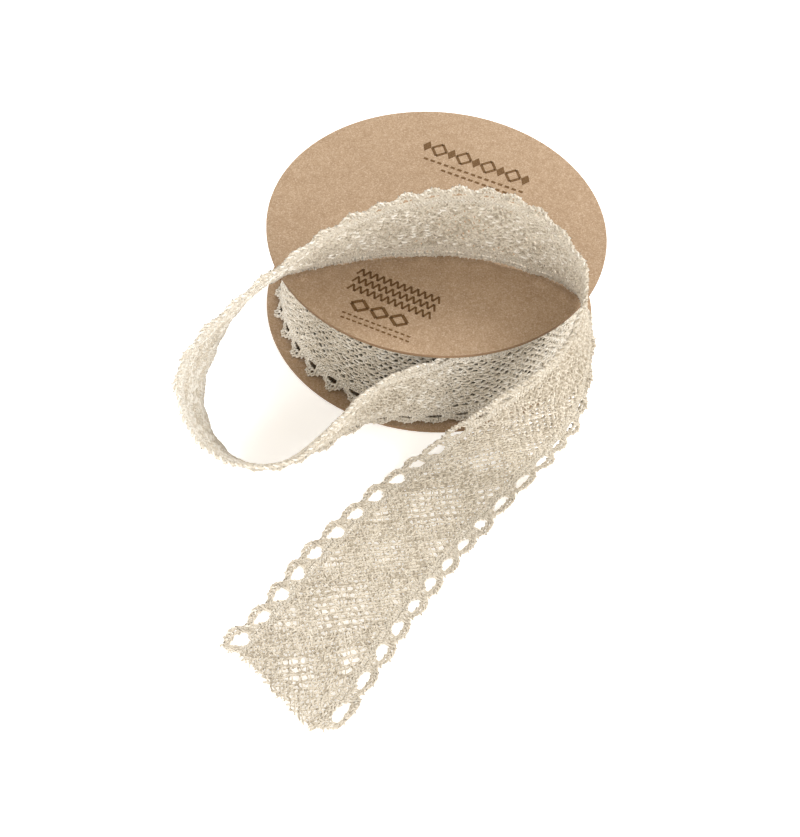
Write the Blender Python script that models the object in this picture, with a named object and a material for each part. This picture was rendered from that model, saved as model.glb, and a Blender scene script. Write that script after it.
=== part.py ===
"""Spool of cotton lace ribbon: two card discs, the wound ribbon between them and its loose end.

Metres, +Z up. The origin is on the spool's axis, on the surface that the spool stands on.
"""
import bmesh
import bpy
import numpy as np

MM = 0.001

# The spool
DISC_RADIUS = 39.7 * MM
DISC_THICK = 0.8 * MM
DISC_GAP = 25.6 * MM
DISC_SIDES = 96
UPPER_DISC_Z = DISC_THICK + DISC_GAP
SEAT_GAP = 0.3 * MM

# The wound ribbon
ROLL_RADIUS = 36.8 * MM
TURN_THICK = 1.5 * MM
SCALLOPS_ROUND = 35
STEPS_PER_SCALLOP = 4
FOOT_SPREAD = 0.7 * MM
SCALLOP_SPREAD = 1.0 * MM
PRESSED_ARC = np.radians(25)

# The loose ribbon
SHEET_THICK = 1.2 * MM
SCALLOP_PITCH = 6.7 * MM
EYELET_LENGTH = 4.7 * MM
EYELET_WIDTH = 2.2 * MM
EYELET_INSET = 2.4 * MM
EDGE_BAND = 4.6 * MM
BAND_CELLS = 3
FRAYED_LENGTH = 22 * MM
ROUTE_SAMPLES = 4000
SMOOTHING_SAMPLES = 70
END_SAMPLES = 40
END_REACH = 10 * MM

# Where the loose ribbon passes, in mm: the edge that is lower while it stands on edge, then the upper edge.
# stage, lower x, lower y, lower z, upper x, upper y, upper z
ROUTE = [
    ("leaves the roll", 6.5, -36.6, 1.1, 6.3, -35.7, 26.0),
    ("peels off", -1.5, -37.9, 1.3, 0.8, -40.6, 26.0),
    ("over the lower rim", -9.0, -38.9, 2.0, -8.0, -46.0, 26.8),
    ("comes down", -16.0, -41.5, 1.0, -13.5, -51.0, 26.0),
    ("stands slanting", -24.0, -48.6, 0.6, -17.5, -57.5, 25.5),
    ("nearest the front", -33.5, -54.2, 0.6, -28.5, -69.0, 22.2),
    ("starts to climb", -43.2, -51.9, 2.2, -42.6, -69.3, 23.5),
    ("left of the loop", -49.3, -43.6, 9.4, -51.1, -62.1, 28.9),
    ("climbs", -47.3, -35.2, 18.0, -51.2, -54.3, 36.4),
    ("over the upper rim", -38.4, -25.5, 28.8, -36.2, -42.1, 48.6),
    ("on the disc, left", -24.0, -16.3, 27.9, -18.5, -25.0, 52.7),
    ("on the disc, middle", 3.0, -9.8, 27.7, 3.0, -15.0, 54.0),
    ("on the disc, right", 25.0, -14.2, 27.9, 20.5, -19.0, 54.2),
    ("over the right rim", 33.6, -22.7, 29.8, 31.3, -36.0, 52.8),
    ("falls", 36.3, -30.8, 24.4, 29.4, -44.9, 44.5),
    ("turns", 36.5, -37.1, 17.0, 25.0, -48.5, 38.0),
    ("slopes", 35.1, -42.1, 10.0, 17.0, -49.5, 28.0),
    ("lower slope", 33.0, -43.8, 5.0, 12.0, -48.5, 20.5),
    ("touches down", 29.7, -47.5, 1.6, 6.5, -46.8, 11.0),
    ("lies, right side", 25.0, -54.0, 0.6, 1.5, -48.0, 3.6),
    ("lies, upper", 18.3, -63.8, 0.6, -4.0, -51.6, 0.7),
    ("lies, middle", 11.0, -76.2, 0.6, -13.6, -63.0, 0.6),
    ("lies, lower", 3.6, -88.9, 0.6, -22.5, -75.5, 0.6),
    ("cut end", -9.1, -116.0, 0.6, -36.5, -101.5, 0.6),
]

# How far the ragged cut reaches past its two corners, across the ribbon from its lower edge, in mm
# share of the width, reach
CUT_END = [(0.0, 0.0), (0.06, 4.0), (0.13, 5.4), (0.22, 6.9), (0.45, 4.3), (0.7, 2.2), (0.85, 0.8), (1.0, 0.0)]

# One edge scallop, from one valley to the next: share of the pitch, depth below the tip in mm
SCALLOP = [(0.0, 1.3), (0.18, 0.45), (0.5, 0.0), (0.82, 0.45), (1.0, 1.3)]
# The eyelet's corners, as angles round its oval, each beside the point of the cell's outline that it faces
EYELET_ANGLES = (197, 232, 270, 308, 343, 0, 35, 90, 145, 180)

CARD = (0.56, 0.41, 0.27, 1.0)
COTTON = (0.79, 0.72, 0.61, 1.0)


def clear_scene():
    for old in list(bpy.data.objects):
        bpy.data.objects.remove(old, do_unlink=True)


def material(name, colour, roughness):
    made = bpy.data.materials.new(name)
    made.use_nodes = True
    shader = made.node_tree.nodes["Principled BSDF"]
    shader.inputs["Base Color"].default_value = colour
    shader.inputs["Roughness"].default_value = roughness
    shader.inputs["Metallic"].default_value = 0.0
    return made


def add_object(name, points, faces, finish):
    """An object from points and faces, with doubled points merged and faces turned outwards."""
    mesh = bpy.data.meshes.new(name)
    mesh.from_pydata([tuple(p) for p in points], [], faces)
    work = bmesh.new()
    work.from_mesh(mesh)
    bmesh.ops.remove_doubles(work, verts=work.verts, dist=0.02 * MM)
    bmesh.ops.recalc_face_normals(work, faces=work.faces)
    work.to_mesh(mesh)
    work.free()
    mesh.materials.append(finish)
    made = bpy.data.objects.new(name, mesh)
    bpy.context.scene.collection.objects.link(made)
    return made


def disc(name, z_low, finish):
    """A flat round card disc with its underside at z_low."""
    angles = np.arange(DISC_SIDES) * 2 * np.pi / DISC_SIDES
    ring = np.stack([DISC_RADIUS * np.cos(angles), DISC_RADIUS * np.sin(angles)], 1)
    points = [(x, y, z) for z in (z_low, z_low + DISC_THICK) for x, y in ring]
    points += [(0, 0, z_low), (0, 0, z_low + DISC_THICK)]
    faces = []
    for i in range(DISC_SIDES):
        j = (i + 1) % DISC_SIDES
        faces.append((i, j, DISC_SIDES + j, DISC_SIDES + i))
        faces.append((j, i, 2 * DISC_SIDES))
        faces.append((DISC_SIDES + i, DISC_SIDES + j, 2 * DISC_SIDES + 1))
    made = add_object(name, points, faces, finish)
    made.data.shade_smooth()
    made.data.set_sharp_from_angle(angle=np.radians(40))
    return made


def roll(name, start_angle, finish):
    """The wound ribbon: a cylinder whose radius drops by one turn in one round, with a scalloped foot.

    Going round from the step, the radius is ROLL_RADIUS less the share of TURN_THICK wound so far. Each
    row adds a plain spread and a spread that follows the scallops.
    """
    low, high = DISC_THICK + SEAT_GAP, UPPER_DISC_Z - SEAT_GAP
    # height, plain spread, scalloped spread
    rows = [
        (low, FOOT_SPREAD, SCALLOP_SPREAD),
        (low + 1.0 * MM, 0.8 * FOOT_SPREAD, 0.6 * SCALLOP_SPREAD),
        (low + 2.8 * MM, 0.3 * FOOT_SPREAD, 0.0),
        (low + 6.0 * MM, 0.0, 0.0),
        (high - 3.0 * MM, 0.0, 0.0),
        (high, 0.0, 0.3 * SCALLOP_SPREAD),
    ]
    count = SCALLOPS_ROUND * STEPS_PER_SCALLOP + 1
    turned = np.linspace(0, 2 * np.pi, count)
    wave = 0.5 - 0.5 * np.cos(turned * SCALLOPS_ROUND)
    pressed = np.clip((2 * np.pi - turned) / PRESSED_ARC, 0, 1)
    radius = ROLL_RADIUS - TURN_THICK * turned / (2 * np.pi)
    points = []
    for z, plain, scalloped in rows:
        r = radius + (plain + scalloped * wave) * pressed
        angle = start_angle + turned
        points += [(a * np.cos(b), a * np.sin(b), z) for a, b in zip(r, angle)]
    bottom, top = len(points), len(points) + 1
    points += [(0, 0, low), (0, 0, high)]
    faces = []
    last = (len(rows) - 1) * count
    for i in range(count - 1):
        for k in range(len(rows) - 1):
            a = k * count + i
            faces.append((a, a + 1, a + count + 1, a + count))
        faces.append((i + 1, i, bottom))
        faces.append((last + i, last + i + 1, top))
    for k in range(len(rows) - 1):
        a = k * count
        faces.append((a, a + count, a + 2 * count - 1, a + count - 1))
    faces.append((0, count - 1, bottom))
    faces.append((last, top, last + count - 1))
    made = add_object(name, points, faces, finish)
    made.data.shade_smooth()
    made.data.set_sharp_from_angle(angle=np.radians(50))
    return made


def ribbon_edges():
    """Length along the ribbon's middle and both edges, read closely from a smooth curve through ROUTE.

    Between two rows a cubic runs with the slope that the rows beside give, and a moving average then
    rounds it. Neither edge goes lower than cloth that lies flat. The last row's end carries on straight
    for END_REACH, so that the ragged cut can reach past it.
    """
    rows = np.array([row[1:] for row in ROUTE]) * MM
    middle = (rows[:, :3] + rows[:, 3:]) / 2
    knots = np.concatenate([[0], np.cumsum(np.sqrt(np.linalg.norm(np.diff(middle, axis=0), axis=1)))])
    step = np.diff(knots)[:, None]
    chord = np.diff(rows, axis=0) / step
    inner = (chord[:-1] * step[1:] + chord[1:] * step[:-1]) / (step[1:] + step[:-1])
    slope = np.vstack([chord[:1], inner, chord[-1:]])
    t = np.linspace(0, knots[-1], ROUTE_SAMPLES)
    i = np.clip(np.searchsorted(knots, t, side="right") - 1, 0, len(knots) - 2)
    h = step[i]
    u = (t - knots[i])[:, None] / h
    line = rows[i] * (2 * u**3 - 3 * u**2 + 1) + slope[i] * h * (u**3 - 2 * u**2 + u)
    line += rows[i + 1] * (3 * u**2 - 2 * u**3) + slope[i + 1] * h * (u**3 - u**2)
    weight = np.hanning(2 * SMOOTHING_SAMPLES + 1)
    weight /= weight.sum()
    before = 2 * line[0] - line[SMOOTHING_SAMPLES:0:-1]
    after = 2 * line[-1] - line[-2 : -SMOOTHING_SAMPLES - 2 : -1]
    wide = np.vstack([before, line, after])
    line = np.stack([np.convolve(column, weight, "valid") for column in wide.T], 1)
    line[:, [2, 5]] = np.maximum(line[:, [2, 5]], SHEET_THICK / 2)
    middle = (line[:, :3] + line[:, 3:]) / 2
    along = np.concatenate([[0], np.cumsum(np.linalg.norm(np.diff(middle, axis=0), axis=1))])
    heading = (line[-1] - line[-END_SAMPLES]) / (along[-1] - along[-END_SAMPLES])
    end = line[-1] + heading * END_REACH
    return np.append(along, along[-1] + END_REACH), np.vstack([line, end]), along[-1]


def sheet(name, finish):
    """The loose ribbon: a scalloped band with one eyelet in each scallop, given its thickness at the end.

    Each pitch of the ribbon has a cell on either edge, which is a ring of four-sided faces round the
    eyelet, and a few plain cells between the two. A point is found from its distance along the ribbon and
    its distance in from one of the two edges.
    """
    along, line, length = ribbon_edges()
    pitches = round(length / SCALLOP_PITCH)
    pitch = length / pitches
    cut_share, cut_reach = np.array(CUT_END).T

    def place(s, depth, from_upper):
        """The point at s along the ribbon and depth in from an edge, moved out along the ragged cut."""
        width = np.linalg.norm(
            [np.interp(s, along, line[:, 3 + k]) - np.interp(s, along, line[:, k]) for k in range(3)]
        )
        share = 1 - depth / width if from_upper else depth / width
        drawn = np.clip((s - length + FRAYED_LENGTH) / FRAYED_LENGTH, 0, 1) ** 2
        s = s + drawn * np.interp(share, cut_share, cut_reach) * MM
        low = np.array([np.interp(s, along, line[:, k]) for k in range(3)])
        high = np.array([np.interp(s, along, line[:, 3 + k]) for k in range(3)])
        return low * (1 - share) + high * share

    points, faces = [], []

    def add_face(corners):
        faces.append(tuple(range(len(points), len(points) + len(corners))))
        points.extend(corners)

    outline = [(u, d * MM) for u, d in SCALLOP]
    outline += [(1.0, EYELET_INSET), (1.0, EDGE_BAND), (0.5, EDGE_BAND), (0.0, EDGE_BAND), (0.0, EYELET_INSET)]
    for n in range(pitches):
        for from_upper in (False, True):
            outer, inner = [], []
            for (u, depth), degrees in zip(outline, EYELET_ANGLES):
                outer.append(place((n + u) * pitch, depth, from_upper))
                a = np.radians(degrees)
                s = (n + 0.5) * pitch + 0.5 * EYELET_LENGTH * np.cos(a)
                inner.append(place(s, EYELET_INSET + 0.5 * EYELET_WIDTH * np.sin(a), from_upper))
            for k in range(len(outer)):
                j = (k + 1) % len(outer)
                ring = (outer[k], outer[j], inner[j], inner[k])
                add_face(ring[::-1] if from_upper else ring)
        for half in (0.0, 0.5):
            ends = []
            for s in ((n + half) * pitch, (n + half + 0.5) * pitch):
                low, high = place(s, EDGE_BAND, False), place(s, EDGE_BAND, True)
                ends.append([low + (high - low) * k / BAND_CELLS for k in range(BAND_CELLS + 1)])
            for k in range(BAND_CELLS):
                add_face((ends[0][k], ends[1][k], ends[1][k + 1], ends[0][k + 1]))

    made = add_object(name, points, faces, finish)
    cloth = made.modifiers.new("thickness", "SOLIDIFY")
    cloth.thickness = SHEET_THICK
    cloth.offset = 0.0
    made.data.shade_smooth()
    return made


clear_scene()
card = material("kraft_card", CARD, 0.85)
cotton = material("cotton_lace", COTTON, 0.9)
loose_start = np.arctan2(ROUTE[0][2], ROUTE[0][1])
disc("flange_bottom", 0.0, card)
disc("flange_top", UPPER_DISC_Z, card)
roll("ribbon_roll", loose_start + 2 * SEAT_GAP / ROLL_RADIUS, cotton)
sheet("ribbon_loose", cotton)
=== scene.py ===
"""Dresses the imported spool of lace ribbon: kraft card discs, the wound turns, and the lace as threads."""

import bpy
import numpy as np
from mathutils import Matrix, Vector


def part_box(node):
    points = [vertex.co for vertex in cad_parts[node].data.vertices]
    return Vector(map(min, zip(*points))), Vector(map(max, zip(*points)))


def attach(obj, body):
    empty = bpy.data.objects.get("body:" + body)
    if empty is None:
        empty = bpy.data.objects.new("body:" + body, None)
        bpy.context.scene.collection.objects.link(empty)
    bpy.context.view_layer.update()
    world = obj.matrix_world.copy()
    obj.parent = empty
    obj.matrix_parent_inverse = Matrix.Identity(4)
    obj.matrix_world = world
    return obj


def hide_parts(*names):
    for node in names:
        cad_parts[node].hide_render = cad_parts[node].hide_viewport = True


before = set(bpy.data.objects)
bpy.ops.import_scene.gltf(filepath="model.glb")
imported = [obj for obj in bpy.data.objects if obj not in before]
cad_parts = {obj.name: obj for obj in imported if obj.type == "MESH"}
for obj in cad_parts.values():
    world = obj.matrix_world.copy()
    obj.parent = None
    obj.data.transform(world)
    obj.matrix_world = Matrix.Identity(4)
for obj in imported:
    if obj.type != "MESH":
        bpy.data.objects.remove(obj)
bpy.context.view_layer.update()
MM = 0.001

# The camera stands in front of the spool and looks down at it, where the photograph was taken from.
# Its place is in mm in the part's frame, its angles are in degrees, and its lens suits a 36 mm tall sensor.
CAMERA_PLACE = (-4.8957, -300.3792, 327.6928)
CAMERA_PITCH = 51.12858
CAMERA_ROLL = 4.74086
CAMERA_LENS = 78.02

camera = bpy.data.objects.new("camera", bpy.data.cameras.new("camera"))
bpy.context.scene.collection.objects.link(camera)
bpy.context.scene.camera = camera
camera.data.lens = CAMERA_LENS
camera.data.sensor_width = 36
camera.data.clip_start = 0.01
camera.data.clip_end = 20
tilt = Matrix.Rotation(np.radians(90 - CAMERA_PITCH), 4, "X")
turn = Matrix.Rotation(np.radians(CAMERA_ROLL), 4, "Z")
camera.matrix_world = Matrix.Translation([c * MM for c in CAMERA_PLACE]) @ tilt @ turn

# The two discs are stamped from brown kraft card, 0.8 mm thick, and glued to the ends of the winding. The
# pulp shows as a soft mottle with short fibres and flecks, and the stamped edge is a little darker.
KRAFT = (0.44, 0.312, 0.203)
KRAFT_DARK = (0.305, 0.197, 0.113)
KRAFT_LIGHT = (0.585, 0.45, 0.335)
KRAFT_EDGE = (0.26, 0.165, 0.095)
MOTTLE_CELL = 2.6 * MM
GRAIN_CELL = 0.33 * MM
FIBRE_CELL = (1.3 * MM, 0.22 * MM, 1.3 * MM)
# How far each kind of fibre is turned, in degrees, and its tone
FIBRES = ((20, KRAFT_DARK), (75, KRAFT_LIGHT), (-40, KRAFT_DARK), (-75, KRAFT_LIGHT))


def shader_nodes(name, roughness):
    """A new material, with its node tree, a function that adds a node, and its Principled shader."""
    made = bpy.data.materials.new(name)
    made.use_nodes = True
    tree = made.node_tree
    shader = tree.nodes["Principled BSDF"]
    shader.inputs["Roughness"].default_value = roughness

    def add(kind, **settings):
        node = tree.nodes.new(kind)
        for key, value in settings.items():
            if hasattr(node, key):
                setattr(node, key, value)
            else:
                node.inputs[key.replace("_", " ")].default_value = value
        return node

    return made, tree, add, shader


def mixed(tree, add, share, first, second):
    """The colour that goes from first to second with share. Each is a colour or another node's output."""
    mix = add("ShaderNodeMix", data_type="RGBA")
    for socket, value in ((mix.inputs[6], first), (mix.inputs[7], second), (mix.inputs[0], share)):
        if isinstance(value, bpy.types.NodeSocket):
            tree.links.new(value, socket)
        elif isinstance(value, tuple):
            socket.default_value = (*value, 1.0)
        else:
            socket.default_value = value
    return mix.outputs[2]


def stepped(tree, add, value, low, high, top=1.0):
    """0 where value is under low, top where it is over high, and smooth in between."""
    step = add("ShaderNodeMapRange", interpolation_type="SMOOTHSTEP")
    step.inputs["From Min"].default_value = low
    step.inputs["From Max"].default_value = high
    step.inputs["To Max"].default_value = top
    tree.links.new(value, step.inputs["Value"])
    return step.outputs["Result"]


def noise(tree, add, cell, detail=2.0, turned=0.0):
    """Noise in Object coordinates, in cells of the size cell in metres, turned about Z by degrees."""
    place = add("ShaderNodeTexCoord")
    mapping = add("ShaderNodeMapping", vector_type="TEXTURE")
    mapping.inputs["Rotation"].default_value = (0.0, 0.0, np.radians(turned))
    mapping.inputs["Scale"].default_value = cell
    cells = add("ShaderNodeTexNoise", Scale=1.0, Detail=detail)
    tree.links.new(place.outputs["Object"], mapping.inputs["Vector"])
    tree.links.new(mapping.outputs["Vector"], cells.inputs["Vector"])
    return cells.outputs["Fac"]


def bumped(tree, add, shader, height, distance):
    """Gives the shader a bump that is distance metres high where height goes from 0 to 1."""
    bump = add("ShaderNodeBump", Strength=1.0, Distance=distance)
    tree.links.new(height, bump.inputs["Height"])
    tree.links.new(bump.outputs["Normal"], shader.inputs["Normal"])


def kraft_card():
    """Mottle, grain and fibres on the faces. Where the surface looks sideways it is KRAFT_EDGE."""
    kraft, tree, add, shader = shader_nodes("kraft card", 0.82)
    shader.inputs["Specular IOR Level"].default_value = 0.25
    mottle = stepped(tree, add, noise(tree, add, [MOTTLE_CELL] * 3, 4.0), 0.3, 0.75, 0.35)
    colour = mixed(tree, add, mottle, KRAFT, KRAFT_DARK)
    grain = noise(tree, add, [GRAIN_CELL] * 3)
    colour = mixed(tree, add, stepped(tree, add, grain, 0.5, 0.75, 0.8), colour, KRAFT_LIGHT)
    colour = mixed(tree, add, stepped(tree, add, grain, 0.5, 0.28, 0.7), colour, KRAFT_DARK)
    for degrees, tone in FIBRES:
        fibre = noise(tree, add, FIBRE_CELL, 1.0, degrees)
        colour = mixed(tree, add, stepped(tree, add, fibre, 0.66, 0.76, 0.7), colour, tone)
    normal = add("ShaderNodeTexCoord").outputs["Normal"]
    parts = add("ShaderNodeSeparateXYZ")
    tree.links.new(normal, parts.inputs[0])
    upright = add("ShaderNodeMath", operation="ABSOLUTE")
    tree.links.new(parts.outputs["Z"], upright.inputs[0])
    colour = mixed(tree, add, stepped(tree, add, upright.outputs[0], 0.3, 0.7), KRAFT_EDGE, colour)
    tree.links.new(colour, shader.inputs["Base Color"])
    bumped(tree, add, shader, grain, 0.05 * MM)
    return kraft


card = kraft_card()
for name in ("flange_bottom", "flange_top"):
    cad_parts[name].material_slots[0].material = card

# The upper disc is printed in brown ink, in lines that slope to its right: lozenges with two dashed rules
# under them near its far rim, and a zigzag border over three lozenges and two rules near its front.
INK = (0.12, 0.056, 0.012)
INK_WORN = (0.21, 0.115, 0.04)
INK_HEIGHT = 0.03 * MM
PRINT_SLOPE = np.radians(-20.75)
FAR_PRINT = (7.7, 21.0)
FRONT_PRINT = (-8.4, -22.2)
WORN_CELL = 0.3 * MM


def stroke(x0, y0, x1, y1, width):
    """The four corners of a straight stroke from one point to the other, in mm."""
    run = np.array([x1 - x0, y1 - y0])
    aside = np.array([-run[1], run[0]]) * width / 2 / np.hypot(*run)
    a, b = np.array([x0, y0]), np.array([x1, y1])
    return [a - aside, b - aside, b + aside, a + aside]


def lozenge(x, y, half_width, half_height):
    """The four corners of a filled lozenge."""
    return [(x - half_width, y), (x, y - half_height), (x + half_width, y), (x, y + half_height)]


def open_lozenge(x, y, half_width, half_height, width):
    """Four strokes round a lozenge."""
    corners = lozenge(x, y, half_width, half_height)
    return [stroke(*a, *b, width) for a, b in zip(corners, corners[1:] + corners[:1])]


def dashed_rule(x, y, length, dash, width):
    """Level strokes in a row, with gaps of 0.6 dashes."""
    starts = np.arange(x - length / 2, x + length / 2, 1.6 * dash)
    return [stroke(a, y, a + dash, y, width) for a in starts]


def zigzag(x, y, length, tooth, height, width):
    """Strokes up and down by turns, two to each tooth."""
    count = int(round(length / tooth)) * 2
    xs = x - length / 2 + np.arange(count + 1) * tooth / 2
    ys = y + height / 2 * np.where(np.arange(count + 1) % 2 == 0, -1, 1)
    return [stroke(*ends, width) for ends in zip(xs[:-1], ys[:-1], xs[1:], ys[1:])]


def printed(centre, shapes):
    """The shapes' corners on the disc: turned by PRINT_SLOPE and set at centre, in metres."""
    c, s = np.cos(PRINT_SLOPE), np.sin(PRINT_SLOPE)
    return (np.array(shapes, float) @ np.array([[c, s], [-s, c]]) + centre) * MM


def ink_marks(name, corners, finish):
    """Each four-cornered shape as a closed slab that stands INK_HEIGHT on the card."""
    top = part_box("flange_top")[1].z
    flat = corners.reshape(-1, 4, 2)
    low = np.concatenate([flat, np.full((*flat.shape[:2], 1), top - INK_HEIGHT)], 2)
    high = low + np.array([0, 0, 2 * INK_HEIGHT])
    points = np.concatenate([low, high], 1).reshape(-1, 3)
    slab = np.array([[3, 2, 1, 0], [4, 5, 6, 7], [0, 1, 5, 4], [1, 2, 6, 5], [2, 3, 7, 6], [3, 0, 4, 7]])
    faces = (slab[None] + 8 * np.arange(len(flat))[:, None, None]).reshape(-1, 4)
    mesh = bpy.data.meshes.new(name)
    mesh.from_pydata(points.tolist(), [], faces.tolist())
    mesh.materials.append(finish)
    made = bpy.data.objects.new(name, mesh)
    bpy.context.scene.collection.objects.link(made)
    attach(made, "root")
    return made


def printing_ink():
    """Brown ink, worn paler in small patches."""
    ink, tree, add, shader = shader_nodes("brown ink", 0.75)
    worn = stepped(tree, add, noise(tree, add, [WORN_CELL] * 3), 0.48, 0.7)
    tree.links.new(mixed(tree, add, worn, INK, INK_WORN), shader.inputs["Base Color"])
    return ink


# In mm from each print's centre: place, then half sizes or length and tooth or dash, then stroke
far = [lozenge(x, 1.6, 1.1, 1.9) for x in np.arange(-12.8, 13, 6.4)]
far += sum([open_lozenge(x, 1.6, 1.9, 2.2, 0.7) for x in np.arange(-9.6, 10, 6.4)], [])
far += dashed_rule(0.6, -2.6, 25.0, 1.1, 0.7) + dashed_rule(2.0, -4.6, 17.0, 1.1, 0.7)
front = sum([zigzag(0, y, 20.4, 1.7, 2.0, 0.5) for y in (2.6, 0.0, -2.6)], [])
front += sum([open_lozenge(x - 0.6, -7.0, 2.1, 1.8, 0.8) for x in (-4.8, 0.0, 4.8)], [])
front += dashed_rule(0.3, -10.4, 17.0, 0.9, 0.45) + dashed_rule(0.6, -11.8, 17.0, 0.9, 0.45)
marks = np.concatenate([printed(FAR_PRINT, far), printed(FRONT_PRINT, front)])
ink_marks("printed_border", marks, printing_ink())

# The ribbon's path is its solid's: where its two edges pass, in mm, from where it leaves the winding to its
# cut end. The edge that is lower while it stands on edge comes first. It settles onto the upper disc.
DISC_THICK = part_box("flange_bottom")[1].z
UPPER_DISC_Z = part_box("flange_top")[0].z
ROLL_RADIUS = 36.8 * MM
TURN_THICK = 1.5 * MM
SEAT_GAP = 0.3 * MM
SHEET_THICK = 1.2 * MM
LACE_WIDTH = 27.0 * MM
SCALLOPS_ROUND = 35
SCALLOPS_LOOSE = 46
FRAYED_LENGTH = 22 * MM
ROUTE_SAMPLES = 4000
SMOOTHING_SAMPLES = 70
END_SAMPLES = 40
END_REACH = 10 * MM
WOUND_SAMPLES = 400
TUCKED_TURN = 2 * np.pi + np.radians(24)
JOIN_LENGTH = 6 * MM
DISC_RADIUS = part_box("flange_top")[1].x
CARD_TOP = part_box("flange_top")[1].z
EDGE_REST = 0.15 * MM
RIM_REACH = 8 * MM
# stage, lower x, lower y, lower z, upper x, upper y, upper z
ROUTE = [
    ("leaves the roll", 6.5, -36.6, 1.1, 6.3, -35.7, 26.0),
    ("peels off", -1.5, -37.9, 1.3, 0.8, -40.6, 26.0),
    ("over the lower rim", -9.0, -38.9, 2.0, -8.0, -46.0, 26.8),
    ("comes down", -16.0, -41.5, 1.0, -13.5, -51.0, 26.0),
    ("stands slanting", -24.0, -48.6, 0.6, -17.5, -57.5, 25.5),
    ("nearest the front", -33.5, -54.2, 0.6, -28.5, -69.0, 22.2),
    ("starts to climb", -43.2, -51.9, 2.2, -42.6, -69.3, 23.5),
    ("left of the loop", -49.3, -43.6, 9.4, -51.1, -62.1, 28.9),
    ("climbs", -47.3, -35.2, 18.0, -51.2, -54.3, 36.4),
    ("over the upper rim", -38.4, -25.5, 28.8, -36.2, -42.1, 48.6),
    ("on the disc, left", -24.0, -16.3, 27.9, -18.5, -25.0, 52.7),
    ("on the disc, middle", 3.0, -9.8, 27.7, 3.0, -15.0, 54.0),
    ("on the disc, right", 25.0, -14.2, 27.9, 20.5, -19.0, 54.2),
    ("over the right rim", 33.6, -22.7, 29.8, 31.3, -36.0, 52.8),
    ("falls", 36.3, -30.8, 24.4, 29.4, -44.9, 44.5),
    ("turns", 36.5, -37.1, 17.0, 25.0, -48.5, 38.0),
    ("slopes", 35.1, -42.1, 10.0, 17.0, -49.5, 28.0),
    ("lower slope", 33.0, -43.8, 5.0, 12.0, -48.5, 20.5),
    ("touches down", 29.7, -47.5, 1.6, 6.5, -46.8, 11.0),
    ("lies, right side", 25.0, -54.0, 0.6, 1.5, -48.0, 3.6),
    ("lies, upper", 18.3, -63.8, 0.6, -4.0, -51.6, 0.7),
    ("lies, middle", 11.0, -76.2, 0.6, -13.6, -63.0, 0.6),
    ("lies, lower", 3.6, -88.9, 0.6, -22.5, -75.5, 0.6),
    ("cut end", -9.1, -116.0, 0.6, -36.5, -101.5, 0.6),
]
# How far the ragged cut reaches past its two corners: share of the width from the lower edge, reach in mm
CUT_END = [(0.0, 0.0), (0.06, 4.0), (0.13, 5.4), (0.22, 6.9), (0.45, 4.3)]
CUT_END += [(0.7, 2.2), (0.85, 0.8), (0.93, 0.4), (1.0, 1.0)]


def loose_edges():
    """Length along the loose ribbon's middle and both edges, read closely from a smooth curve through ROUTE.

    Between two rows a cubic runs with the slope that the rows beside give, and a moving average then
    rounds it. Neither edge goes lower than cloth that lies flat. The end carries on straight for END_REACH.
    """
    rows = np.array([row[1:] for row in ROUTE]) * MM
    middle = (rows[:, :3] + rows[:, 3:]) / 2
    knots = np.concatenate([[0], np.cumsum(np.sqrt(np.linalg.norm(np.diff(middle, axis=0), axis=1)))])
    step = np.diff(knots)[:, None]
    chord = np.diff(rows, axis=0) / step
    inner = (chord[:-1] * step[1:] + chord[1:] * step[:-1]) / (step[1:] + step[:-1])
    slope = np.vstack([chord[:1], inner, chord[-1:]])
    t = np.linspace(0, knots[-1], ROUTE_SAMPLES)
    i = np.clip(np.searchsorted(knots, t, side="right") - 1, 0, len(knots) - 2)
    h = step[i]
    u = (t - knots[i])[:, None] / h
    line = rows[i] * (2 * u**3 - 3 * u**2 + 1) + slope[i] * h * (u**3 - 2 * u**2 + u)
    line += rows[i + 1] * (3 * u**2 - 2 * u**3) + slope[i + 1] * h * (u**3 - u**2)
    weight = np.hanning(2 * SMOOTHING_SAMPLES + 1)
    weight /= weight.sum()
    before = 2 * line[0] - line[SMOOTHING_SAMPLES:0:-1]
    after = 2 * line[-1] - line[-2 : -SMOOTHING_SAMPLES - 2 : -1]
    wide = np.vstack([before, line, after])
    line = np.stack([np.convolve(column, weight, "valid") for column in wide.T], 1)
    line[:, [2, 5]] = np.maximum(line[:, [2, 5]], SHEET_THICK / 2)
    middle = (line[:, :3] + line[:, 3:]) / 2
    along = np.concatenate([[0], np.cumsum(np.linalg.norm(np.diff(middle, axis=0), axis=1))])
    heading = (line[-1] - line[-END_SAMPLES]) / (along[-1] - along[-END_SAMPLES])
    end = line[-1] + heading * END_REACH
    return np.append(along, along[-1] + END_REACH), np.vstack([line, end]), along[-1]


def wound_edges(angle, pitch, meeting):
    """The outermost turn, counted backwards from where the ribbon leaves it at that angle, as in loose_edges.

    Going round by t, the radius is ROLL_RADIUS - TURN_THICK t / 2 pi, and each turn has SCALLOPS_ROUND
    scallops. Over the last JOIN_LENGTH both edges slide to where the loose ribbon begins.
    """
    turned = np.linspace(TUCKED_TURN, 0, WOUND_SAMPLES)[:-1]
    radius = ROLL_RADIUS - TURN_THICK * turned / (2 * np.pi)
    along = -turned / (2 * np.pi) * SCALLOPS_ROUND * pitch
    x, y = radius * np.cos(angle + turned), radius * np.sin(angle + turned)
    low = np.full_like(x, DISC_THICK + SEAT_GAP)
    high = np.full_like(x, UPPER_DISC_Z - SEAT_GAP)
    line = np.stack([x, y, low, x, y, high], 1)
    slide = meeting - line[-1]
    line += slide * np.exp(along / JOIN_LENGTH)[:, None]
    return along, line


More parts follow.
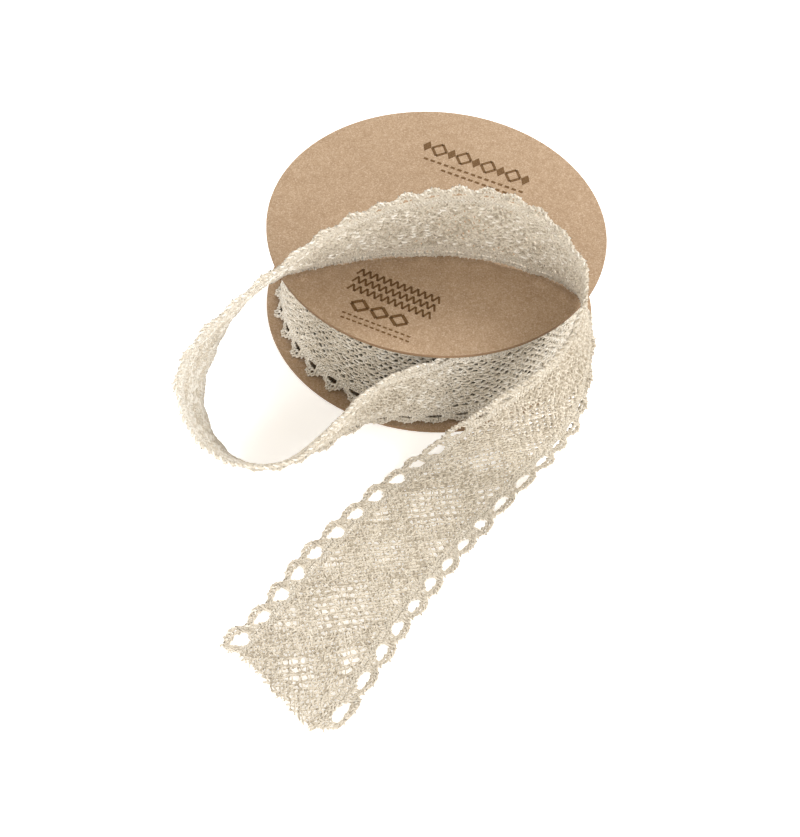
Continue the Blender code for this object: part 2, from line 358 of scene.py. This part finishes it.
def settled(line):
    """The path with its lower edge let down onto the upper disc: by its height over the card, times a share
    that grows from 0 at RIM_REACH outside the rim to 1 at the rim. It goes straight away from the camera."""
    low = line[:, :3]
    share = np.clip((DISC_RADIUS + RIM_REACH - np.hypot(low[:, 0], low[:, 1])) / RIM_REACH, 0, 1)
    drop = share * np.maximum(low[:, 2] - CARD_TOP - EDGE_REST, 0)
    eye = np.array(CAMERA_PLACE) * MM
    away = (low - eye) / (eye[2] - low[:, 2:])
    return np.hstack([low + away * drop[:, None], line[:, 3:]])


along, line, LOOSE_LENGTH = loose_edges()
line = settled(line)
PITCH = LOOSE_LENGTH / SCALLOPS_LOOSE
leaving = np.arctan2(ROUTE[0][2], ROUTE[0][1])
wound_along, wound_line = wound_edges(leaving, PITCH, line[0])
WOUND_LENGTH = -wound_along[0]
along = np.concatenate([wound_along, along])
line = np.vstack([wound_line, line])
heading = np.gradient(line, along, axis=0)

# The inner turns fill the middle of the spool. Only shaded lace shows of them, through the holes of the
# outernmost turn, so they are one winding a little below that turn, with painted shade as its dark colour.
INNER_DROP = 1.15 * MM
INNER_STEP = np.radians(7)
INNER_PAINTED_SHADE = (0.09, 0.075, 0.05)
INNER_PAINTED_HIGHLIGHT = (0.24, 0.205, 0.145)
INNER_CELLS = 900.0  # to the metre
INNER_POINTS = 361
INNER_ROWS = 25


def new_object(name, points, corners, sides, finish):
    """An object from its points and its faces, which all have the same number of sides."""
    mesh = bpy.data.meshes.new(name)
    mesh.vertices.add(len(points))
    mesh.vertices.foreach_set("co", np.asarray(points, np.float32).ravel())
    mesh.loops.add(corners.size)
    mesh.loops.foreach_set("vertex_index", corners.ravel().astype(np.int32))
    mesh.polygons.add(corners.size // sides)
    mesh.polygons.foreach_set("loop_start", np.arange(0, corners.size, sides, dtype=np.int32))
    mesh.update(calc_edges=True)
    mesh.shade_smooth()
    mesh.materials.append(finish)
    made = bpy.data.objects.new(name, mesh)
    bpy.context.scene.collection.objects.link(made)
    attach(made, "root")
    return made


def inner_turns(finish):
    """The winding below the outermost turn, as (r cos a, r sin a, z) with r falling evenly by TURN_THICK in
    one round and a small step where the round closes. Both ends close in rings of ever smaller radius."""
    turned = np.linspace(0, 2 * np.pi, INNER_POINTS)
    radius = ROLL_RADIUS - INNER_DROP - TURN_THICK * turned / (2 * np.pi)
    low, high = DISC_THICK + SEAT_GAP, UPPER_DISC_Z - SEAT_GAP
    shares = np.array([0.02, 0.5] + [1.0] * INNER_ROWS + [0.5, 0.02])
    heights = np.concatenate([[low, low], np.linspace(low, high, INNER_ROWS), [high, high]])
    angle = leaving + INNER_STEP + turned
    r = radius * shares[:, None]
    points = np.stack([r * np.cos(angle), r * np.sin(angle), np.broadcast_to(heights[:, None], r.shape)], -1)
    rows, count = r.shape
    index = np.arange(rows * count).reshape(rows, count)
    after = np.roll(index, -1, axis=1)
    corners = np.stack([index[:-1], after[:-1], after[1:], index[1:]], -1).reshape(-1, 4)
    return new_object("inner_turns", points.reshape(-1, 3), corners, 4, finish)


def shaded_lace():
    """Painted highlight spots where the next turn's threads catch the light, with painted shade between."""
    shade, tree, add, shader = shader_nodes("shaded lace", 0.95)
    place = add("ShaderNodeTexCoord")
    cells = add("ShaderNodeTexVoronoi", Scale=INNER_CELLS, feature="F1")
    tree.links.new(place.outputs["Object"], cells.inputs["Vector"])
    between = stepped(tree, add, cells.outputs["Distance"], 0.2, 0.6)
    tree.links.new(mixed(tree, add, between, INNER_PAINTED_HIGHLIGHT, INNER_PAINTED_SHADE), shader.inputs["Base Color"])
    bumped(tree, add, shader, between, 0.25 * MM)
    return shade


winding = inner_turns(shaded_lace())
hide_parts("ribbon_roll")

# The lace is cotton bobbin lace in the torchon manner. Its ground is threads that slant both ways and cross
# at a right angle: evenly spread they make cloth stitch, and drawn together in pairs they make net. Other
# threads run along the ribbon through the cloth stitch, and at the cut all of them fray.
THREADS_PER_SCALLOP = 6
EDGE_BAND = 4.6 * MM
GROUND_ROWS = 32
THREAD_SIDES = 4
THREAD_RADIUS = 0.245 * MM
WEAVE_HEIGHT = 0.24 * MM
DRAWN_LOOSE = 0.22
DRAWN_WOUND = 0.48
UNEVEN_LOOSE = 0.14 * MM
UNEVEN_WOUND = 0.085 * MM
TINT_SPREAD = 0.15
# How much paler the thread is painted, by its place along the ribbon in mm. This is painted light, most in
# the loop, which has light behind it, and painted shade where the number is below 0.
PAINTED_LIGHT_ALONG = [(0.0, 0.13), (15.0, -0.12), (45.0, 0.0), (70.0, 0.25), (95.0, 0.1)]
PAINTED_LIGHT_ALONG += [(115.0, -0.08), (180.0, -0.15), (200.0, -0.3), (225.0, -0.12)]
WOUND_THINNING = 0.81
NET_WOUND = 2.4
PASSIVE_HEIGHT = 0.46 * MM
PASSIVE_DASH = 1.5 * MM
PASSIVE_WOUND = 0.165 * MM
PASSIVE_LOOSE = 0.17 * MM
BOLD_END = 195 * MM
BOLD_FADE = 20 * MM
MOTIF_SCALLOPS = 5
MOTIF_START = 2.75
# Half length and half width of the net's lozenges, and how wide its line along each band is
LARGE_NET = (8.4 * MM, 7.4 * MM)
SMALL_NET = (4.6 * MM, 4.0 * MM)
HALF_NET = (5.0 * MM, 4.4 * MM)
HALF_NET_SHIFT = 0.6 * MM
LINE_NET = 1.1 * MM
FOOT_SPREAD = 0.7 * MM
SCALLOP_SPREAD = 1.5 * MM
SCALLOP_DEPTH = 1.3 * MM
TIP_CURL = 0.7 * MM
RELAXED_FROM = 200 * MM
RELAXED_OVER = 40 * MM
RELAXED_SPREAD = 0.03
CUT_SPREAD = 0.06
FRAYED_COUNT = 26
COTTON = (0.70, 0.634, 0.528)
COTTON_LIGHT = (0.92, 0.885, 0.815)
COTTON_DARK = (0.40, 0.335, 0.245)
FUZZ_CELL = 0.11 * MM
rng = np.random.default_rng(7)


def cotton_thread():
    """Matt cotton, from COTTON_DARK to COTTON_LIGHT with the mesh's own attribute tint. The tint holds the
    threads' own tone and also painted light and shade.
    """
    cotton, tree, add, shader = shader_nodes("cotton thread", 0.9)
    shader.inputs["Specular IOR Level"].default_value = 0.2
    shader.inputs["Sheen Weight"].default_value = 0.15
    shader.inputs["Sheen Roughness"].default_value = 0.5
    tint = add("ShaderNodeAttribute", attribute_name="tint").outputs["Fac"]
    colour = mixed(tree, add, stepped(tree, add, tint, 0.45, 1.0), COTTON, COTTON_LIGHT)
    colour = mixed(tree, add, stepped(tree, add, tint, 0.35, 0.0, 0.8), colour, COTTON_DARK)
    tree.links.new(colour, shader.inputs["Base Color"])
    bumped(tree, add, shader, noise(tree, add, [FUZZ_CELL] * 3), 0.04 * MM)
    return cotton


def cloth(s, v, n):
    """Points of the ribbon s along it, v across it from its lower edge and n proud of its middle, and which
    way its outer face looks there. A point lies on the straight line between the edges, v / LACE_WIDTH of
    the way, and a few hundredths more where the ribbon is relaxed and at its cut. The outermost turn's foot
    flares over the lower disc, the loose edges curl outwards, and the ragged cut draws the end out."""
    drawn = np.clip((s - LOOSE_LENGTH + FRAYED_LENGTH) / FRAYED_LENGTH, 0, 1) ** 2
    relaxed = np.clip((s - RELAXED_FROM) / RELAXED_OVER, 0, 1)
    share = v / LACE_WIDTH * (1 + RELAXED_SPREAD * relaxed + CUT_SPREAD * drawn**2)
    cut_share, cut_reach = np.array(CUT_END).T
    where = s + drawn * np.interp(share, cut_share, cut_reach) * MM
    low = np.stack([np.interp(where, along, line[:, k]) for k in range(3)], -1)
    high = np.stack([np.interp(where, along, line[:, 3 + k]) for k in range(3)], -1)
    ahead_low = np.stack([np.interp(where, along, heading[:, k]) for k in range(3)], -1)
    ahead_high = np.stack([np.interp(where, along, heading[:, 3 + k]) for k in range(3)], -1)
    share = share[..., None]
    outwards = np.cross(high - low, ahead_low + (ahead_high - ahead_low) * share)
    outwards /= np.linalg.norm(outwards, axis=-1, keepdims=True)
    wave = 0.5 - 0.5 * np.cos(2 * np.pi * s / PITCH)
    on_roll = np.clip(-s / (3 * PITCH), 0, 1) * np.clip((WOUND_LENGTH + s) / (4 * PITCH) - 0.5, 0, 1)
    foot = np.clip(1 - v / (6 * MM), 0, 1) ** 2
    flare = (FOOT_SPREAD * foot + SCALLOP_SPREAD * foot**2 * wave**1.5) * on_roll
    near_edge = np.clip((np.abs(v / LACE_WIDTH - 0.5) - 0.35) / 0.15, 0, 1) ** 2
    flare += TIP_CURL * near_edge * (0.3 + 0.7 * wave) * np.clip(s / (4 * PITCH), 0, 1)
    return low + (high - low) * share + outwards * (n + flare)[..., None], outwards


def runs(inside):
    """Which points of threads along axis 1 stay, and which of them begin one. A thread has two or more."""
    none = np.zeros_like(inside[:, :1])
    before = np.hstack([none, inside[:, :-1]])
    inside = inside & (before | np.hstack([inside[:, 1:], none]))
    return inside, inside & ~before


def mottled(tint):
    """Tints that vary from point to point by TINT_SPREAD."""
    return np.clip(tint + TINT_SPREAD * rng.standard_normal(tint.shape), 0, 1)


def thread_mesh(name, s, v, n, radius, first, tint, finish):
    """Round threads as one mesh. s, v, n and radius hold all the threads' points, one thread after another,
    and first is true at the first point of each. Round a point stand THREAD_SIDES corners, at angle a:
    point + radius (across cos a + proud sin a), with both square to the thread. Flat faces close the ends."""
    points, outwards = cloth(s, v, n)
    last = np.append(first[1:], True)
    index = np.arange(len(s))
    ahead = points[np.where(last, index, index + 1)] - points[np.where(first, index, index - 1)]
    across = np.cross(outwards, ahead)
    across /= np.linalg.norm(across, axis=1, keepdims=True)
    proud = np.cross(ahead, across)
    proud /= np.linalg.norm(proud, axis=1, keepdims=True)
    angle = (np.arange(THREAD_SIDES) + 0.5) * 2 * np.pi / THREAD_SIDES
    ring = across[:, None] * np.cos(angle)[:, None] + proud[:, None] * np.sin(angle)[:, None]
    ring = points[:, None] + ring * radius[:, None, None]
    corner = index[:, None] * THREAD_SIDES + np.arange(THREAD_SIDES)
    turned = np.roll(corner, -1, axis=1)
    run = ~last
    walls = np.stack([corner[run], turned[run], turned[run] + THREAD_SIDES, corner[run] + THREAD_SIDES], -1)
    ends = np.concatenate([corner[first][:, ::-1], corner[last]])
    made = new_object(name, ring.reshape(-1, 3), np.concatenate([walls.reshape(-1, 4), ends]), 4, finish)
    # Painted light and shade along the ribbon, added to each thread's tint.
    place, painted_light = np.array(PAINTED_LIGHT_ALONG).T
    tint = np.clip(tint + np.interp(s / MM, place, painted_light), 0, 1)
    shade = made.data.attributes.new("tint", "FLOAT", "POINT")
    shade.data.foreach_set("value", np.repeat(tint, THREAD_SIDES).astype(np.float32))
    return made


def drawn_to_net(s, v):
    """1 where the ground is net and 0 where it is cloth stitch. Net fills lozenges |x| / a + |y| / b < 1: a
    large and a small one by turns on the middle, a half one at either band between them, and a thin line
    along each band. On the outermost turn each reaches NET_WOUND mm further, so most of it is net."""
    repeat = MOTIF_SCALLOPS * PITCH
    x = np.abs((s - MOTIF_START * PITCH + repeat / 2) % repeat - repeat / 2)
    y = np.abs(v - LACE_WIDTH / 2)
    to_band = LACE_WIDTH / 2 - EDGE_BAND - y
    large = LARGE_NET[1] * (1 - x / LARGE_NET[0]) - y
    small = SMALL_NET[1] * (1 - (repeat / 2 - x) / SMALL_NET[0]) - y
    half = HALF_NET[1] * (1 - np.abs(x - repeat / 4 - HALF_NET_SHIFT) / HALF_NET[0]) - to_band
    beside = LINE_NET - to_band
    inside = np.maximum.reduce([large, small, half, beside]) / MM + NET_WOUND * (s < 0)
    return np.clip(inside / 0.5 + 0.5, 0, 1)


def ground_threads(name, lean, start, end, finish):
    """The ground threads that lean one way, from start to end along the ribbon. Thread i crosses row m at
    s = (i + lean m / 2) spacing, v = EDGE_BAND + m times the rows' distance. There it passes over a thread
    of the other lean, and under one in the next row. In net it is drawn to its partner, and everywhere a
    slow drift and a small random step make it uneven."""
    spacing = PITCH / THREADS_PER_SCALLOP
    reach = GROUND_ROWS / 2
    i = np.arange(np.floor(start / spacing - reach), np.ceil(end / spacing + reach) + 1)[:, None]
    m = np.arange(GROUND_ROWS + 1)[None, :]
    s = (i + lean * m / 2) * spacing
    v = EDGE_BAND + m * (LACE_WIDTH - 2 * EDGE_BAND) / GROUND_ROWS + 0 * i
    net = drawn_to_net(s, v) * np.clip((LOOSE_LENGTH - s) / (2 * MM) - 1, 0, 1)
    ragged = 0.5 * spacing * (rng.random(i.shape) - 0.5) * (end > 0)
    inside = (s >= start - 1e-9) & (s < end + ragged + 0.499 * spacing)
    inside, first = runs(inside)
    to_partner = np.where(i % 2 == 0, 1, -1) * spacing * (DRAWN_LOOSE if end > 0 else DRAWN_WOUND)
    uneven = UNEVEN_LOOSE if end > 0 else UNEVEN_WOUND
    drift = 0.10 * MM * (np.sin(s / (1.9 * MM) + v / (3.1 * MM)) + np.sin(s / (2.7 * MM) - v / (1.3 * MM)))
    s = s + net * to_partner + drift + uneven * rng.standard_normal(s.shape)
    v = v + 0.6 * drift + uneven * rng.standard_normal(v.shape)
    n = lean * WEAVE_HEIGHT * np.where(m % 2 == 0, 1, -1) + 0.05 * MM * rng.standard_normal(s.shape)
    slub = 1 + 0.3 * np.sin(s / (0.83 * MM) + 37 * rng.random(i.shape)) * rng.random(i.shape)
    radius = THREAD_RADIUS * slub * (1 if end > 0 else WOUND_THINNING) + 0 * s
    tint = mottled(rng.normal(0.38, 0.1, i.shape) + 0 * s)
    return thread_mesh(name, *(values[inside] for values in (s, v, n, radius, first, tint)), finish)


def passive_threads(name, every, radius, start, end, finish):
    """The threads that run along the ribbon, one in every so many ground rows: through the cloth stitch, and
    on the outermost turn through the net too. Their height goes as sin(pi s / PASSIVE_DASH + phase), so each
    shows on the surface in dashes. Up to BOLD_END, those in odd rows are bolder."""
    spacing = PITCH / THREADS_PER_SCALLOP
    m = np.arange(1, GROUND_ROWS, every)[:, None]
    s = start + np.arange(int(2 * (end - start) / spacing))[None, :] * spacing / 2 + 0 * m
    v = EDGE_BAND + m * (LACE_WIDTH - 2 * EDGE_BAND) / GROUND_ROWS + 0 * s
    closing = np.clip((LOOSE_LENGTH - s) / (2 * MM) - 1, 0, 1)
    inside, first = runs((drawn_to_net(s, v) * closing < 0.5) | (s < 0))
    bold = np.clip((BOLD_END - s) / BOLD_FADE, 0, 1)
    phase = 6 * rng.random(m.shape) + 0.5 * rng.standard_normal(s.shape)
    n = PASSIVE_HEIGHT * (0.5 + 0.5 * bold * (s > 0)) * np.sin(np.pi * s / PASSIVE_DASH + phase)
    s = s + 0.12 * MM * rng.standard_normal(s.shape)
    v = v + 0.09 * MM * rng.standard_normal(v.shape) + 0.1 * MM * np.sin(s / (2.3 * MM) + m)
    bold *= m % 2
    thick = radius * (1 + 0.55 * bold) * (1 + 0.25 * rng.standard_normal(s.shape).clip(-1.5, 1.5))
    # The tint is paler where the thread stands proud and darker where it dips: painted highlight and painted
    # shade.
    tint = mottled(0.3 + (0.3 + 0.35 * bold) * np.abs(n) / PASSIVE_HEIGHT)
    return thread_mesh(name, *(values[inside] for values in (s, v, n, thick, first, tint)), finish)


def frayed_ends(count, finish):
    """Loose thread ends that stick out of the cut at LOOSE_LENGTH, each with its own slant and a bend."""
    t = np.linspace(0, 1, 5)[None, :]
    reach = rng.uniform(1.0, 3.4, (count, 1)) * MM
    s = LOOSE_LENGTH - 0.8 * MM + reach * t
    v = rng.uniform(0.03, 0.97, (count, 1)) * LACE_WIDTH + reach * (rng.uniform(-0.7, 0.7, (count, 1)) * t)
    v += rng.uniform(-0.5, 0.5, (count, 1)) * MM * t**2
    n = rng.uniform(-0.2, 0.5, (count, 1)) * MM * t
    first = np.broadcast_to(t == 0, s.shape)
    radius = 0.5 * THREAD_RADIUS * (1 - 0.5 * t) + 0 * s
    return thread_mesh("frayed_ends", *(a.ravel() for a in (s, v, n, radius, first, 0.5 + 0 * s)), finish)


cotton = cotton_thread()
wound_ground = [
    ground_threads("wound_ground_" + side, lean, -WOUND_LENGTH, 0.0, cotton)
    for side, lean in (("right", 1), ("left", -1))
]
loose_ground = [
    ground_threads("loose_ground_" + side, lean, 0.0, LOOSE_LENGTH, cotton)
    for side, lean in (("right", 1), ("left", -1))
]
wound_ground.append(passive_threads("wound_passives", 2, PASSIVE_WOUND, -WOUND_LENGTH, 0.0, cotton))
loose_ground.append(passive_threads("loose_passives", 1, PASSIVE_LOOSE, 0.0, LOOSE_LENGTH, cotton))
loose_ground.append(frayed_ends(FRAYED_COUNT, cotton))

# Along both edges runs a dense band, and outside it a twisted cord in scallops, with an oval eyelet between
# the two in each scallop. A worker thread goes to and fro through the band and, between eyelets, to the cord.
CORD_STRANDS = 2
CORD_TWIST = 1.7 * MM
CORD_STEPS = 7
CORD_INSET = 0.45 * MM
STRAND_OFFSET = 0.24 * MM
STRAND_RADIUS = 0.25 * MM
# How far in from the tips each rim strand lies, in mm: beside a valley and beside a tip
RIM_STRANDS = ((2.0, 1.12), (2.4, 1.34))
BAND_STRANDS = 5
BAND_OUTER = 2.75 * MM
BAND_INNER = 4.75 * MM
WORKER_STEPS = 6
WRAP_STEPS = 5
# Each edge's eyelets: half their length as a share of the pitch, and how far they push the band in
EYELETS = {"lower": (0.25, 0.8 * MM), "upper": (0.26, 1.25 * MM)}
# How far the eyelets are open, by their place along the ribbon in mm: fully only where it lies relaxed
EYELET_OPENING = {
    "lower": [(-20.0, 0.55), (15.0, 0.5), (28.0, 0.12), (215.0, 0.15), (245.0, 0.95)],
    "upper": [(-20.0, 0.75), (10.0, 0.12), (110.0, 0.12), (130.0, 0.5)]
    + [(160.0, 0.12), (195.0, 0.12), (235.0, 1.0)],
}
# How deep the scallops are, by place: in full on the winding and where the ribbon lies relaxed
SCALLOP_SHARE = {
    "lower": [(20.0, 1.0), (40.0, 0.6), (110.0, 0.35), (180.0, 0.35), (225.0, 1.0)],
    "upper": [(20.0, 1.0), (40.0, 0.6), (110.0, 0.5), (190.0, 0.6), (225.0, 1.0)],
}


def edge_threads(name, edge, start, end, finish):
    """All threads of one edge. With u the place in a scallop from valley 0 to valley 1, the outline lies
    SCALLOP_DEPTH (1 - sin pi u)^1.35, times its SCALLOP_SHARE, in from the tips, and the eyelet is an
    ellipse whose half E is sqrt(1 - ((u - 0.5) / half length)^2). Band strand k lies BAND_OUTER + k steps
    in, plus its share of E."""
    parts = []
    half, drop = EYELETS[edge]
    place, opening = np.array(EYELET_OPENING[edge]).T
    phase = rng.uniform(0, 6, 4)

    def uneven(s, part=1.0):
        """A slow wave made of four lengths, in mm. Each edge has its own."""
        waves = ((1.1, 0), (1.9, 1), (3.3, 2), (5.3, 3))
        return 0.08 * MM * part * sum(np.sin(s / (length * MM) + phase[k]) for length, k in waves)

    def outline(s):
        """How far in from the tips the cord runs."""
        depth = SCALLOP_DEPTH * np.interp(s / MM, *np.array(SCALLOP_SHARE[edge]).T)
        return depth * (1 - np.abs(np.sin(np.pi * s / PITCH))) ** 1.35 + uneven(s, 1.5)

    def eyelet(s):
        """E, times how far that eyelet is open."""
        middle = 0.5 + 0.05 * np.sin(np.floor(s / PITCH) * 1.7)
        oval = np.sqrt(np.clip(1 - ((s / PITCH % 1 - middle) / half) ** 2, 0, 1))
        return oval * np.interp(s / MM, place, opening) * (1 + 0.2 * np.sin(np.floor(s / PITCH) * 2.4))

    def rim(s, valley, tip):
        """How far in a strand outside the eyelets lies: valley beside a valley, tip beside a tip."""
        pushed = np.interp(s / MM, place, 1 - np.array(opening)) * np.abs(np.sin(np.pi * s / PITCH))
        return (valley + (tip - valley) * np.sqrt(np.abs(np.sin(np.pi * s / PITCH))) + 0.5 * pushed) * MM

    def add(s, depth, n, radius, tint):
        """One more thread, a little uneven in thickness and tint."""
        first = np.arange(len(s)) == 0
        n = n + uneven(s + 3 * MM, 1.2) * np.clip(1 - depth / BAND_INNER, 0, 1)
        thick = radius * (1 + 0.12 * rng.standard_normal(len(s)).clip(-2, 2))
        parts.append(np.stack([s, depth, n, thick, first, mottled(tint + 0 * s)]))

    step = CORD_TWIST / CORD_STEPS
    s = np.arange(start, end + 0.3 * step, step)
    for k in range(CORD_STRANDS):
        turn = 2 * np.pi * (s / CORD_TWIST + k / CORD_STRANDS) + uneven(s) / (0.2 * MM)
        depth = outline(s) + CORD_INSET + STRAND_OFFSET * np.cos(turn)
        add(s, depth, STRAND_OFFSET * np.sin(turn), STRAND_RADIUS, rng.uniform(0.3, 0.8))
    step = PITCH / 16
    count = int(round((end - start) / step)) + 1
    s = start + np.arange(count) * step
    weave = np.where(np.arange(count) % 2 == 0, 1, -1) * WEAVE_HEIGHT
    for k, (valley, tip) in enumerate(RIM_STRANDS):
        depth = rim(s, valley, tip) + uneven(s) + 0.04 * MM * rng.standard_normal(count)
        add(s, depth, weave * (0.6 if k else -0.6), 0.9 * THREAD_RADIUS, rng.uniform(0.3, 0.8))
    for k in range(BAND_STRANDS):
        part = k / (BAND_STRANDS - 1)
        depth = BAND_OUTER + (BAND_INNER - BAND_OUTER) * part + drop * eyelet(s) * (1 - part)
        n = weave * (1 if k % 2 else -1)
        add(s, depth + 0.05 * MM * rng.standard_normal(count), n, 0.9 * THREAD_RADIUS, rng.uniform(0.3, 0.8))
    between = np.abs((s / PITCH + 0.5) % 1 - 0.5) < 0.5 - half

    def to_and_fro(every, steps, outer, inner, height, radius):
        """A thread that crosses once in every so many steps of s, from the depth outer to inner or back."""
        crossing = np.arange(0, count - 1, every)[:, None]
        share = np.linspace(0, 1, steps)[None, :]
        where = start + (crossing + 0.9 * every * share) * step
        share = np.where(crossing // every % 2 == 0, share, 1 - share)
        n = height * np.where((crossing // every + np.arange(steps)) % 2 == 0, 1, -1)
        depth = outer[crossing] + (inner[crossing] - outer[crossing]) * share
        add(where.ravel(), depth.ravel(), n.ravel(), radius, 0.5)

    rim_depth = rim(s, *RIM_STRANDS[1])
    outer = np.where(between, outline(s) + 0.4 * MM, BAND_OUTER - 0.12 * MM + drop * eyelet(s))
    inner = 0 * s + BAND_INNER + 0.2 * MM
    to_and_fro(1, WORKER_STEPS, outer, inner, 1.1 * WEAVE_HEIGHT, 0.85 * THREAD_RADIUS)
    outer = outline(s) + 0.1 * MM
    to_and_fro(2, WRAP_STEPS, outer, rim_depth + 0.1 * MM, 1.6 * WEAVE_HEIGHT, THREAD_RADIUS)
    s, depth, n, radius, first, tint = np.concatenate(parts, 1)
    v = LACE_WIDTH - depth if edge == "upper" else depth
    return thread_mesh(name, s, v, n, radius, first > 0.5, tint, finish)


wound_edge = [edge_threads("wound_edge_" + edge, edge, -WOUND_LENGTH, 0.0, cotton) for edge in EYELETS]
loose_edge = [edge_threads("loose_edge_" + edge, edge, 0.0, LOOSE_LENGTH, cotton) for edge in EYELETS]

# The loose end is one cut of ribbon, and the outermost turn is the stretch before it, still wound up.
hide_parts("ribbon_loose")

# The floor is a plain white table that glows a little, so that hardly a shadow shows on it. Four soft lamps
# and a pale warm sky light the spool.
FLOOR_HALF = 5.0
FLOOR_WHITE = (0.93, 0.93, 0.93)
FLOOR_GLOW = 0.52
GLOW_COLOUR = (1.0, 0.98, 0.95)
SKY_COLOUR = (1.0, 0.90, 0.76)
SKY_STRENGTH = 0.36
# name, place in m, size in m, power in W
LAMPS = [
    ("back_lamp", (0.1, 0.4, 0.65), 0.4, 3.2),
    ("left_lamp", (-0.7, -0.4, 0.45), 0.6, 4.2),
    ("right_lamp", (0.8, -0.1, 0.5), 0.5, 4.8),
    ("front_lamp", (0.25, -0.8, 0.35), 0.6, 3.7),
]

floor_points = FLOOR_HALF * np.array([(-1, -1, 0), (1, -1, 0), (1, 1, 0), (-1, 1, 0)], float)
white, _, _, floor_shader = shader_nodes("floor", 0.9)
floor_shader.inputs["Base Color"].default_value = (*FLOOR_WHITE, 1.0)
floor_shader.inputs["Emission Color"].default_value = (*GLOW_COLOUR, 1.0)
floor_shader.inputs["Emission Strength"].default_value = FLOOR_GLOW
floor = new_object("floor", floor_points, np.array([[0, 1, 2, 3]]), 4, white)
for name, place, size, power in LAMPS:
    lamp = bpy.data.objects.new(name, bpy.data.lights.new(name, "AREA"))
    lamp.data.energy = power
    lamp.data.size = size
    lamp.location = place
    lamp.rotation_euler = (-lamp.location).to_track_quat("-Z", "Y").to_euler()
    bpy.context.scene.collection.objects.link(lamp)
world = bpy.data.worlds.new("studio")
world.use_nodes = True
sky = world.node_tree.nodes["Background"]
sky.inputs["Color"].default_value = (*SKY_COLOUR, 1.0)
sky.inputs["Strength"].default_value = SKY_STRENGTH
bpy.context.scene.world = world
bpy.context.scene.view_settings.view_transform = "Standard"
